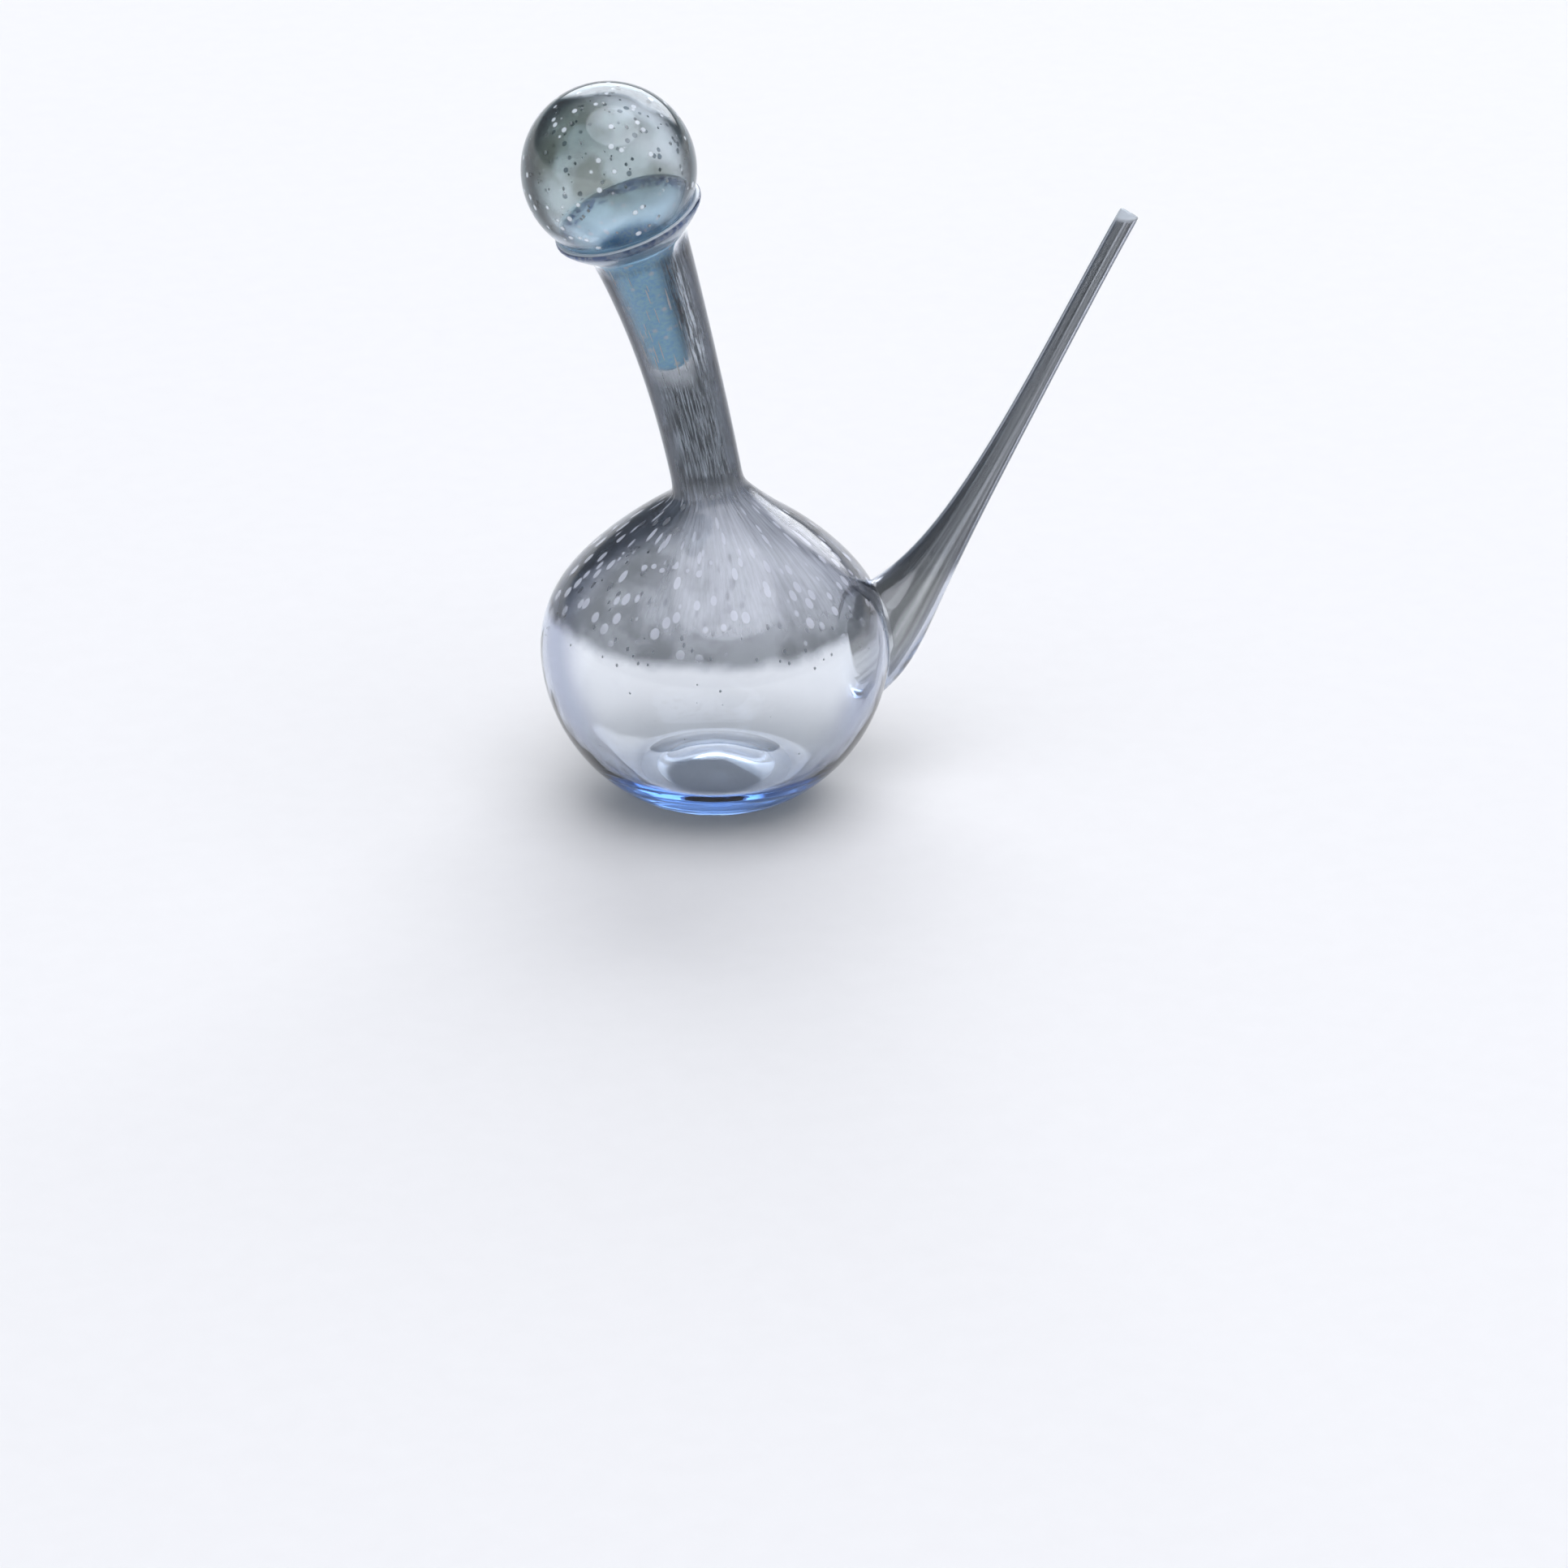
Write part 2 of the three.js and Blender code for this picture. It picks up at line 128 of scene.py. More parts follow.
# Draws glass out ring by ring: each ring of edges is extruded, carried on, scaled and turned.
# A ring may have a fifth number, its radius across the mirror plane.
def draw_out(name, sides, rings, close_ends):
    nothing_selected()
    x, z, lean, radius = rings[0][:4]
    across = rings[0][4] if len(rings[0]) == 5 else radius
    centre = on_mirror_plane(x, z)
    bpy.ops.mesh.primitive_circle_add(vertices=sides, radius=radius / 1000, location=centre)
    glass = bpy.context.object
    glass.name = glass.data.name = name
    bpy.ops.object.transform_apply(location=True, rotation=True, scale=True)
    bpy.ops.object.mode_set(mode="EDIT")
    bpy.ops.mesh.select_mode(type="EDGE")
    bpy.ops.mesh.select_all(action="SELECT")
    bpy.ops.transform.rotate(value=-math.radians(lean), orient_axis="Y", center_override=centre)
    if across != radius:
        bpy.ops.transform.resize(value=(1, across / radius, 1), center_override=centre)
    if close_ends:
        bpy.ops.mesh.edge_face_add()
    for ring in rings[1:]:
        end = on_mirror_plane(ring[0], ring[1])
        end_across = ring[4] if len(ring) == 5 else ring[3]
        bpy.ops.mesh.select_mode(type="EDGE")
        bpy.ops.mesh.extrude_edges_move(TRANSFORM_OT_translate={"value": end - centre})
        grow = ring[3] / radius
        bpy.ops.transform.resize(value=(grow, end_across / across, grow), center_override=end)
        bpy.ops.transform.rotate(value=-math.radians(ring[2] - lean), orient_axis="Y",
                                 center_override=end)
        centre, lean, radius, across = end, ring[2], ring[3], end_across
    if close_ends:
        bpy.ops.mesh.edge_face_add()
    bpy.ops.object.mode_set(mode="OBJECT")
    return glass


# Selects by place: the faces or points for which the test of a place in mm holds.
def pick(glass, kind, test):
    bpy.ops.object.mode_set(mode="EDIT")
    bpy.ops.mesh.select_mode(type=kind)
    bpy.ops.mesh.select_all(action="DESELECT")
    bpy.ops.object.mode_set(mode="OBJECT")
    for part in glass.data.polygons if kind == "FACE" else glass.data.vertices:
        place = part.center if kind == "FACE" else part.co
        part.select = bool(test(*in_mm(place), part))
    bpy.ops.object.mode_set(mode="EDIT")


def around_spout(x, y, z, low, high, half_turn):
    return low < z < high and abs(math.degrees(math.atan2(y, x))) < half_turn


# A place on the body is on its outside skin when it is no further in than half the wall.
HALF_WALL = 1.5


def on_outside(x, y, z):
    return math.hypot(x, y) > body_radius(z) - HALF_WALL


vessel_rings = (pushed_in_bottom + body + shoulder + neck + bowl_and_rim + inside_neck + cavity
                + floor_rise)
vessel = draw_out("vessel_and_spout", VESSEL_SIDES, vessel_rings, True)
whole_skin = vessel.copy()
whole_skin.data = vessel.data.copy()
scene.collection.objects.link(whole_skin)
bpy.context.view_layer.objects.active = vessel
vessel.select_set(True)

# The hole in the side: a patch of each skin goes, and the edges left are pulled into a circle.
# Each patch is given by its lowest and highest z and its half turn in degrees.
OUTSIDE_PATCH, INSIDE_PATCH, BESIDE_HOLE = (36, 100, 22.5), (38, 98, 22.5), (10, 130, 42)
pick(vessel, "FACE", lambda x, y, z, face:
     around_spout(x, y, z, *OUTSIDE_PATCH) and on_outside(x, y, z))
bpy.ops.mesh.delete(type="FACE")
pick(vessel, "FACE", lambda x, y, z, face:
     around_spout(x, y, z, *INSIDE_PATCH) and not on_outside(x, y, z))
bpy.ops.mesh.delete(type="FACE")
bpy.ops.object.mode_set(mode="OBJECT")


# The points on open edges: those of edges that only one face has.
def open_edge_points(glass):
    faces_at = {}
    for face in glass.data.polygons:
        for key in face.edge_keys:
            faces_at[key] = faces_at.get(key, 0) + 1
    return {point for key, faces in faces_at.items() if faces == 1 for point in key}


def round_off(glass, outside, centre_z, half_height, half_width):
    for i in open_edge_points(glass):
        point = glass.data.vertices[i].co
        x, y, z = in_mm(point)
        if on_outside(x, y, z) != outside:
            continue
        turn = math.atan2((z - centre_z) / half_height, y / half_width)
        y, z = half_width * math.cos(turn), centre_z + half_height * math.sin(turn)
        radius = body_radius(z) if outside else cavity_radius(z)
        point.xyz = FOOT_X + math.sqrt(radius ** 2 - y ** 2) / 1000, y / 1000, z / 1000


hole_points = open_edge_points(vessel)
round_off(vessel, outside=True, centre_z=67.9, half_height=33.2, half_width=32)
round_off(vessel, outside=False, centre_z=69.4, half_height=28.6, half_width=27.5)

# The skin beside the hole is relaxed and laid back on the blown form.
relaxed = vessel.vertex_groups.new(name="beside_hole")
for v in vessel.data.vertices:
    if v.index not in hole_points and around_spout(*in_mm(v.co), *BESIDE_HOLE):
        relaxed.add([v.index], 1, "REPLACE")
smooth = vessel.modifiers.new("relax", "SMOOTH")
smooth.vertex_group, smooth.factor, smooth.iterations = relaxed.name, 0.5, 6
bpy.ops.object.modifier_apply(modifier=smooth.name)
lay_back = vessel.modifiers.new("lay_back", "SHRINKWRAP")
lay_back.vertex_group, lay_back.target = relaxed.name, whole_skin
lay_back.wrap_method = "NEAREST_SURFACEPOINT"
bpy.ops.object.modifier_apply(modifier=lay_back.name)
bpy.data.objects.remove(whole_skin)

# The spout's gather: wide and thick at its root, thickest below, drawn to a fire-polished tip.
SPOUT_SIDES = 32
spout_outside = [
    (87.2, 68.4, 94.5, 31.6, 30.6), (88.4, 68.9, 93.8, 32.3, 31), (90.2, 69.5, 92.5, 32, 30.2),
    (94.67, 71.43, 88.48, 30.3, 27.4), (101.27, 75.34, 81.81, 28.3, 24.24),
    (108.25, 82.58, 73.42, 24.43, 21.44), (115.05, 91, 66.28, 20.36, 18.48),
    (122.68, 101.03, 60.83, 16.75, 15.53), (130.68, 112.25, 52.21, 13.48, 13),
    (139.61, 125.04, 43.5, 11, 10.88), (149.64, 140.09, 35.5, 9.17, 9.17),
    (162.09, 159.36, 32.22, 7.77), (175.22, 180.64, 31.2, 6.86), (190.59, 206.44, 30.46, 6.26),
    (205.71, 232.34, 30.16, 5.94), (220.79, 258.25, 30.33, 5.78), (233.55, 279.8, 31.01, 5.7),
    (241.1, 292.2, 31.9, 5.68), (242.2, 293.96, 31.94, 5.66), (242.5, 294.45, 31.98, 5.3),
    (242.62, 294.63, 32, 4.92)]
spout_inside = [
    (242.5, 294.45, 31.98, 4.54), (242.2, 293.96, 31.94, 4.2), (241.1, 292.2, 31.9, 4.18),
    (233.55, 279.8, 31.01, 4.2), (220.79, 258.25, 30.33, 4.28), (205.71, 232.34, 30.16, 4.44),
    (190.59, 206.44, 30.46, 4.75), (175.22, 180.64, 31.2, 5.33), (162.09, 159.36, 32.22, 6.2),
    (149.64, 140.09, 35.5, 7.53, 7.53), (139.04, 124.25, 44.5, 9.46, 9.24),
    (130.05, 111.5, 54.52, 11.77, 11.22), (121.98, 100.36, 63.77, 14.91, 13.55),
    (114.2, 90.6, 68.77, 18.0, 16.3), (107.2, 82.7, 75.69, 21.3, 19.02),
    (99.9, 76, 84.4, 24.9, 21.6), (93.4, 72.7, 90.55, 26.4, 24.19), (88.2, 70.8, 95, 27.1, 25.9),
    (85.6, 69.9, 97, 27.9, 26.8)]
spout = draw_out("spout", SPOUT_SIDES, spout_outside + spout_inside, False)
spout_points = len(spout.data.vertices)
vessel_points = len(vessel.data.vertices)
nothing_selected()
spout.select_set(True)
vessel.select_set(True)
bpy.context.view_layer.objects.active = vessel
bpy.ops.object.join()


# Each open edge of the body is bridged to the spout's, on the outside and on the inside.
def first_ring(i):
    return vessel_points <= i < vessel_points + SPOUT_SIDES


def last_ring(i):
    return i >= vessel_points + spout_points - SPOUT_SIDES


open_edges = open_edge_points(vessel)
for outside, tube_end in ((True, first_ring), (False, last_ring)):
    pick(vessel, "VERT", lambda x, y, z, v: v.index in open_edges and (
        tube_end(v.index) or (v.index < vessel_points and on_outside(x, y, z) == outside)))
    bpy.ops.mesh.select_mode(type="EDGE")
    bpy.ops.mesh.bridge_edge_loops()
    bpy.ops.object.mode_set(mode="OBJECT")


# In edit mode, turns the faces picked outwards. Then it rounds and smooths the skin, as the fire
# does.
def fire_polish(glass):
    bpy.ops.mesh.normals_make_consistent(inside=False)
    bpy.ops.object.mode_set(mode="OBJECT")
    rounded = glass.modifiers.new("rounded", "SUBSURF")
    rounded.levels = rounded.render_levels = 1
    bpy.ops.object.modifier_apply(modifier=rounded.name)
    bpy.ops.object.shade_smooth()


bpy.ops.object.mode_set(mode="EDIT")
bpy.ops.mesh.select_all(action="SELECT")
bpy.ops.mesh.remove_doubles(threshold=1e-6)
fire_polish(vessel)

# The way the glass was drawn: round the line it was drawn along, and the length along it.
BODY_TOP, SPOUT_STARTS, OFF_THE_SKIN = 150, 80, 0.3
axis_line = [(0, 0), (0, BODY_TOP)] + [ring[:2] for ring in shoulder[4:] + neck]
spout_line = [ring[:2] for ring in spout_outside[:-2]]


# For a place in mm: how far it is to the side of a line in the mirror plane, how far along the
# line it lies, and which way is sideways there.
def along_line(line, x, z):
    nearest = math.inf
    length = 0
    for (ax, az), (bx, bz) in zip(line, line[1:]):
        run = math.hypot(bx - ax, bz - az)
        t = min(1, max(0, ((x - ax) * (bx - ax) + (z - az) * (bz - az)) / run ** 2))
        gap = math.hypot(x - ax - t * (bx - ax), z - az - t * (bz - az))
        if gap < nearest:
            nearest = gap
            side = ((x - ax) * (bz - az) - (z - az) * (bx - ax)) / run
            found = side, length + t * run, Vector(((bz - az) / run, 0, (ax - bx) / run))
        length += run
    return found


# Each point also says which skin it is on, and the seeds added later are on neither.
OUTSIDE_SKIN, INSIDE_SKIN = 1, 2
vessel.data.attributes.new("drawn", "FLOAT_VECTOR", "POINT")
vessel.data.attributes.new("skin", "FLOAT", "POINT")
drawn_way, skin_side = vessel.data.attributes["drawn"], vessel.data.attributes["skin"]
for v in vessel.data.vertices:
    x, y, z = in_mm(v.co)
    skin_radius = body_radius(min(z, BODY_TOP)) + OFF_THE_SKIN
    in_spout = x > SPOUT_STARTS and math.hypot(x, y) > skin_radius
    side, length, sideways = along_line(spout_line if in_spout else axis_line, x, z)
    reach = math.hypot(side, y) or 1
    drawn_way.data[v.index].vector = side / reach, y / reach, length / 1000 + in_spout
    outwards = sideways * side + Vector((0, y, 0))
    skin_side.data[v.index].value = OUTSIDE_SKIN if v.normal.dot(outwards) > 0 else INSIDE_SKIN

# Seeds: the small bubbles in the wall, round on the body, drawn long up the shoulder and neck.
# Each is a hollow in the glass, so its faces look into it. The first is 1 mm across, with one
# end a little slimmer, and the others are copies of it.
nothing_selected()
bpy.ops.mesh.primitive_ico_sphere_add(subdivisions=2, radius=0.5, location=(0, 0, 0))
seed = bpy.context.object
seed.name = "seed"
bpy.ops.object.mode_set(mode="EDIT")
bpy.ops.mesh.flip_normals()
bpy.ops.object.mode_set(mode="OBJECT")
pick(seed, "VERT", lambda x, y, z, v: v.co.z > 0.3)
bpy.ops.transform.resize(value=(0.8, 0.8, 1), center_override=(0, 0, 0.4))
bpy.ops.object.mode_set(mode="OBJECT")
bpy.ops.object.shade_smooth()


# A place in a wall: the rings' own centre line, lean and radius, less the depth under the skin.
def place_in_wall(rings, step, turn, depth):
    i = min(int(step), len(rings) - 2)
    x, z, lean, radius = (a + (b - a) * (step - i) for a, b in zip(rings[i][:4], rings[i + 1][:4]))
    lean = math.radians(lean)
    reach = (radius - depth) * math.cos(turn)
    return Vector((x + reach * math.cos(lean), (radius - depth) * math.sin(turn),
                   z - reach * math.sin(lean)))


# Puts seeds in a wall, by chance but never nearer to each other than a few mm, and joins them to
# its glass. Each lies along the way the glass was drawn.
def sow(glass, rings, density, seed_size, count, depth, apart, keep_out):
    placed = []
    copies = []
    weights = [(a[3] + b[3]) * math.dist(a, b) * density(a[1]) for a, b in zip(rings, rings[1:])]
    while len(copies) < count:
        step = chance_of.choices(range(len(rings) - 1), weights)[0] + chance_of.random()
        turn = chance_of.uniform(-math.pi, math.pi)
        here = place_in_wall(rings, step, turn, depth)
        if keep_out(here) or any((here - other).length < apart for other in placed):
            continue
        placed.append(here)
        up = (place_in_wall(rings, step + 0.05, turn, depth)
              - place_in_wall(rings, step - 0.05, turn, depth)).normalized()
        side = Vector((-math.sin(turn), math.cos(turn), 0))
        out = side.cross(up).normalized()
        side = up.cross(out)
        width, length, thick = seed_size(here)
        turned = Matrix((side * width, out * thick, up * length)).transposed().to_4x4()
        one = seed.copy()
        one.data = seed.data.copy()
        scene.collection.objects.link(one)
        one.matrix_world = (Matrix.Translation(Vector((FOOT_X, 0, 0)) + here / 1000)
                            @ turned @ Matrix.Scale(0.001, 4))
        copies.append(one)
    nothing_selected()
    for one in copies:
        one.select_set(True)
    glass.select_set(True)
    bpy.context.view_layer.objects.active = glass
    bpy.ops.object.join()


chance_of = random.Random(11)
blown_wall = pushed_in_bottom[8:] + body + shoulder
neck_wall = shoulder[-2:] + neck[:-1]
FEW_BELOW, LONG_ABOVE = 90, 95


def near_spout(here):
    return here.x > 60 and math.hypot(here.y, here.z - 68) < 42


def body_density(z):
    return 0.25 if z < FEW_BELOW else 1 + 5 * min(1, (z - FEW_BELOW) / 40)


# The width, length and thickness of a seed in mm.
def body_seed(here):
    if here.z > LONG_ABOVE:
        drawn_out = min(1, (here.z - LONG_ABOVE) / 35)
        size = chance_of.uniform(0.8, 1.5) + drawn_out * chance_of.uniform(0, 1.9)
        return size, size * (1 + drawn_out), min(1.2, size * 0.45)
    size = chance_of.uniform(0.5, 1.5)
    return size, size * chance_of.uniform(1, 1.3), min(1.2, size * 0.7)


def neck_seed(here):
    width = chance_of.uniform(0.4, 0.9)
    return width, width * chance_of.uniform(8, 20), width * 0.6


sow(vessel, blown_wall, body_density, body_seed, count=300, depth=1.5, apart=3.5,
    keep_out=near_spout)
sow(vessel, neck_wall, lambda z: 1, neck_seed, count=170, depth=1.4, apart=1.6,
    keep_out=lambda here: False)


# Nodes of a finish, in rows: each is added, set and wired by name.
def node(tree, kind, inputs=(), **settings):
    made = tree.nodes.new(kind)
    for key, value in settings.items():
        setattr(made, key, value)
    for socket, value in dict(inputs).items():
        if isinstance(value, bpy.types.NodeSocket):
            tree.links.new(value, made.inputs[socket])
        else:
            made.inputs[socket].default_value = value
    return made


def number(tree, operation, *values):
    made = node(tree, "ShaderNodeMath", dict(enumerate(values)), operation=operation)
    return made.outputs[0]


def product(tree, first, *others):
    for other in others:
        first = number(tree, "MULTIPLY", first, other)
    return first


# The rest of a share: 1 less it.
def without(tree, value):
    return number(tree, "SUBTRACT", 1, value)


# Runs from 0 to 1 while a number runs from the start to the full value.
def fade(tree, value, start, full):
    made = node(tree, "ShaderNodeMapRange", {"Value": value, "From Min": start, "From Max": full},
                interpolation_type="SMOOTHSTEP")
    return made.outputs["Result"]


def cloud(tree, place, scale, detail, roughness=0.5):
    made = node(tree, "ShaderNodeTexNoise", {"Vector": place, "Scale": scale, "Detail": detail,
                                             "Roughness": roughness})
    return made.outputs["Fac"]


def vector(tree, operation, *values):
    made = node(tree, "ShaderNodeVectorMath", dict(enumerate(values)), operation=operation)
    return made.outputs[0]


def vector_number(tree, operation, *values):
    made = node(tree, "ShaderNodeVectorMath", dict(enumerate(values)), operation=operation)
    return made.outputs["Value"]


def mix(tree, factor, a, b, **settings):
    return node(tree, "ShaderNodeMix", {"Factor": factor, "A": a, "B": b}, data_type="RGBA",
                **settings).outputs["Result"]


def bumps(tree, height):
    return node(tree, "ShaderNodeBump", {"Strength": 0.5, "Distance": 0.0003,
                                         "Height": height}).outputs["Normal"]


def facing_away(tree):
    return node(tree, "ShaderNodeLayerWeight", {"Blend": 0.5}).outputs["Facing"]


def new_finish(name):
    finish = bpy.data.materials.new(name)
    finish.use_nodes = True
    finish.node_tree.nodes.clear()
    return finish, finish.node_tree


# Whether a place is in a seed, and whether it is on the inside skin.
def skins(tree):
    skin = node(tree, "ShaderNodeAttribute", attribute_name="skin").outputs["Fac"]
    return fade(tree, skin, 0.6, 0.3), fade(tree, skin, 1.2, 1.8)


# The vessel's glass: clear below, with a blue cast that deepens where it is thick, and darker
# above with painted shade.
# The painted shade, its streaks and the pale haze stand in for what clear glass shows of the
# things round it: painted shade for the dark room, a painted reflection for the sky. The wall's
# tint is shared by its outside and inside skins, and heights are in metres.
BALL_CENTRE = (-0.12967, 0, 0.35814)
MOUTH_AXIS = (-0.3551, 0, 0.9348)
MOUTH_REACH = 0.052
SEAT_REACH, SEAT_HALF_WIDTH = 0.0459, 0.0009
CLEAR = (1, 1, 1, 1)
GLASS_IOR = 1.5
POLISHED = 0.015

finish, tree = new_finish("vessel_glass")
place = node(tree, "ShaderNodeTexCoord").outputs["Object"]
height_up = node(tree, "ShaderNodeSeparateXYZ", {"Vector": place}).outputs["Z"]
drawn = node(tree, "ShaderNodeAttribute", attribute_name="drawn").outputs["Vector"]
along_neck = vector(tree, "MULTIPLY", drawn, (20, 20, 60))
neck_streaks = cloud(tree, along_neck, 1, 5, 0.65)
along_spout = vector(tree, "MULTIPLY", drawn, (1.5, 1.5, 4))
spout_streaks = cloud(tree, along_spout, 1, 2)
ripples = cloud(tree, place, 55, 1)

# Where things are: the zones of the glass, each from 0 to 1.
in_seed, inside = skins(tree)
around = node(tree, "ShaderNodeSeparateXYZ", {"Vector": drawn}).outputs
on_spout = fade(tree, around["Z"], 0.6, 1)
off_spout = without(tree, on_spout)
from_ball = vector_number(tree, "DISTANCE", place, BALL_CENTRE)
below_bowl = fade(tree, from_ball, 0.0505, 0.058)
on_neck = product(tree, fade(tree, height_up, 0.15, 0.18), below_bowl, off_spout)
above_foot = fade(tree, height_up, 0.015, 0.035)
outside_body = product(tree, without(tree, inside), off_spout)
at_mouth = number(tree, "LESS_THAN", from_ball, MOUTH_REACH)

# Streaks and ripples stand out a little, and the ripples fade along the spout.
streaks = number(tree, "ADD", product(tree, neck_streaks, on_neck),
                 product(tree, spout_streaks, on_spout, 0.3))
ripple_depth = number(tree, "MULTIPLY_ADD", on_spout, -0.7, 0.8)
surface = bumps(tree, number(tree, "ADD", streaks, product(tree, ripples, ripple_depth)))

# Painted shade, for the dark room seen in the glass, fills the upper glass down to an uneven line,
# lighter towards the back.
uneven_height = number(tree, "MULTIPLY_ADD", ripples, 0.008, height_up)
painted_shade_mask = product(tree, fade(tree, uneven_height, 0.106, 0.114), below_bowl)
outer = mix(tree, painted_shade_mask, CLEAR, (0.7, 0.72, 0.77, 1))
painted_surroundings_shade = mix(tree, fade(tree, cloud(tree, place, 45, 3), 0.4, 0.62), (0.22, 0.23, 0.23, 1),
            (0.08, 0.085, 0.085, 1))
towards_back = fade(tree, around["Y"], -0.3, 0.6)
painted_surroundings_shade = mix(tree, product(tree, towards_back, 0.65), painted_surroundings_shade, CLEAR)
inner = mix(tree, painted_shade_mask, CLEAR, painted_surroundings_shade)

# Streaks of the draw run up the neck, darkened with painted shade of the room; the painted shade
# is left off two sides of the stopper's shank, so the neck is clearer there.
neck_streaks_and_painted_shade = mix(tree, fade(tree, neck_streaks, 0.42, 0.55), (0.7, 0.73, 0.75, 1),
                (0.006, 0.009, 0.012, 1))
inner = mix(tree, on_neck, inner, neck_streaks_and_painted_shade)
outer = mix(tree, on_neck, outer, (0.5, 0.53, 0.57, 1))
two_sides = number(tree, "ABSOLUTE", vector_number(
    tree, "DOT_PRODUCT", drawn, (-0.728, -0.692, 0)))
beside_shank = product(tree, fade(tree, two_sides, 0.56, 0.8), on_neck,
                       fade(tree, height_up, 0.236, 0.25))
inner = mix(tree, beside_shank, inner, CLEAR)
outer = mix(tree, beside_shank, outer, CLEAR)

# Broad streaks run along the spout, in painted shade of the room.
spout_streaks_and_painted_shade = mix(tree, fade(tree, spout_streaks, 0.4, 0.6), (0.55, 0.56, 0.55, 1),
                 (0.07, 0.073, 0.073, 1))
inner = mix(tree, on_spout, inner, spout_streaks_and_painted_shade)
colour = mix(tree, inside, outer, inner)

# Painted shade: the glass is darker where it is seen edge on.
edge_on_painted_shade = product(tree, fade(tree, facing_away(tree), 0.3, 0.62), below_bowl)
colour = mix(tree, product(tree, edge_on_painted_shade, painted_shade_mask), colour, (0.02, 0.03, 0.04, 1))
colour = mix(tree, product(tree, edge_on_painted_shade, above_foot), colour, (0.5, 0.53, 0.64, 1),
             blend_type="MULTIPLY")

# Blisters: seeds that lie just under the outside skin of the shoulder, painted as pale ovals with
# the glint they catch.
# A painted reflection of the sky lies on the shoulder's front as a pale haze.
along_shoulder = vector(tree, "MULTIPLY", drawn, (9.5, 9.5, 115))
from_blister = node(tree, "ShaderNodeTexVoronoi",
                    {"Vector": along_shoulder, "Scale": 1}).outputs["Distance"]
on_shoulder = product(tree, fade(tree, height_up, 0.1, 0.125), fade(tree, height_up, 0.18, 0.165))
blisters_with_painted_glint = product(tree, fade(tree, from_blister, 0.38, 0.24), on_shoulder, outside_body, 0.75)
to_front = vector_number(tree, "DOT_PRODUCT", drawn, (0.12, -0.99, 0))
painted_sky_reflection = product(tree, fade(tree, to_front, 0.2, 0.8), fade(tree, height_up, 0.108, 0.134),
               fade(tree, height_up, 0.19, 0.165), neck_streaks, 0.95, outside_body)
blister_glint_and_sky_reflection = number(tree, "MAXIMUM", blisters_with_painted_glint, painted_sky_reflection)
colour = mix(tree, blister_glint_and_sky_reflection, colour, (0.86, 0.88, 0.97, 1))

# The lip is dotted with deep blue; the top of its rim and the spout's tip get a painted highlight.
up_mouth = vector_number(tree, "DOT_PRODUCT", vector(tree, "SUBTRACT", place, BALL_CENTRE),
                         MOUTH_AXIS)
dots = number(tree, "MULTIPLY_ADD", fade(tree, cloud(tree, place, 320, 1), 0.42, 0.58), 0.6, 0.35)
lip = product(tree, at_mouth, fade(tree, up_mouth, -0.0325, -0.031),
              fade(tree, up_mouth, -0.0274, -0.0281), dots)
colour = mix(tree, lip, colour, (0.015, 0.05, 0.2, 1))
rim = product(tree, fade(tree, up_mouth, -0.0279, -0.0273), at_mouth)
tip = product(tree, fade(tree, height_up, 0.29, 0.2935), on_spout)
painted_rim_and_tip_highlight = product(tree, number(tree, "MAXIMUM", rim, tip), 0.85)
colour = mix(tree, painted_rim_and_tip_highlight, colour, (0.86, 0.92, 0.97, 1))
colour = mix(tree, in_seed, colour, CLEAR)

# Fire-polished all over, but ground on the seat in the bowl and worn on the ring of the foot.
on_seat = number(tree, "LESS_THAN", number(
    tree, "ABSOLUTE", number(tree, "SUBTRACT", from_ball, SEAT_REACH)), SEAT_HALF_WIDTH)
foot_ring = fade(tree, height_up, 0.0009, 0.0003)
roughness = number(tree, "MULTIPLY_ADD", foot_ring, 0.4, POLISHED)
roughness = number(tree, "MULTIPLY_ADD", on_spout, 0.05, roughness)
roughness = number(tree, "MULTIPLY_ADD", in_seed, 0.35, roughness)
roughness = number(tree, "MULTIPLY_ADD", on_seat, 0.4, roughness)
see_through = number(tree, "MULTIPLY_ADD", in_seed, -0.85,
                     without(tree, number(tree, "MAXIMUM", blister_glint_and_sky_reflection, painted_rim_and_tip_highlight)))


def glass_of(tree, colour, roughness, surface, see_through, cast, depth_of_cast):
    shader = node(tree, "ShaderNodeBsdfPrincipled", {
        "Base Color": colour, "Roughness": roughness, "Normal": surface, "IOR": GLASS_IOR,
        "Transmission Weight": see_through})
    tint = node(tree, "ShaderNodeVolumeAbsorption", {"Color": cast, "Density": depth_of_cast})
    node(tree, "ShaderNodeOutputMaterial", {"Surface": shader.outputs[0],
                                            "Volume": tint.outputs[0]})


glass_of(tree, colour, roughness, surface, see_through, (0.1, 0.48, 0.92, 1), 14)
vessel.data.materials.clear()
vessel.data.materials.append(finish)
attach(vessel, "vessel")
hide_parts("vessel", "spout")


# Stopper. A hollow ball and its shank, blown and drawn in one piece. The shank and the part of
# the ball that sits in the bowl are ground, and the ball is full of seeds. Its end is left open.
BALL_AT = (-57.588, 358.14)
BALL_RADIUS, BALL_HOLLOW = 45.6, 43
STOPPER_LEAN = -17.5
STOPPER_AXIS = (-0.300706, 0, 0.953717)


# A ring at a height in mm along the stopper's axis, above the ball's centre.
def on_stopper(height, radius):
    lean = math.radians(STOPPER_LEAN)
    return (BALL_AT[0] + height * math.sin(lean), BALL_AT[1] + height * math.cos(lean),
            STOPPER_LEAN, radius)


def ball_rings(reach, first, last, count):
    angles = (math.radians(first + (last - first) * i / count) for i in range(count + 1))
    return [on_stopper(-reach * math.cos(a), reach * math.sin(a)) for a in angles]


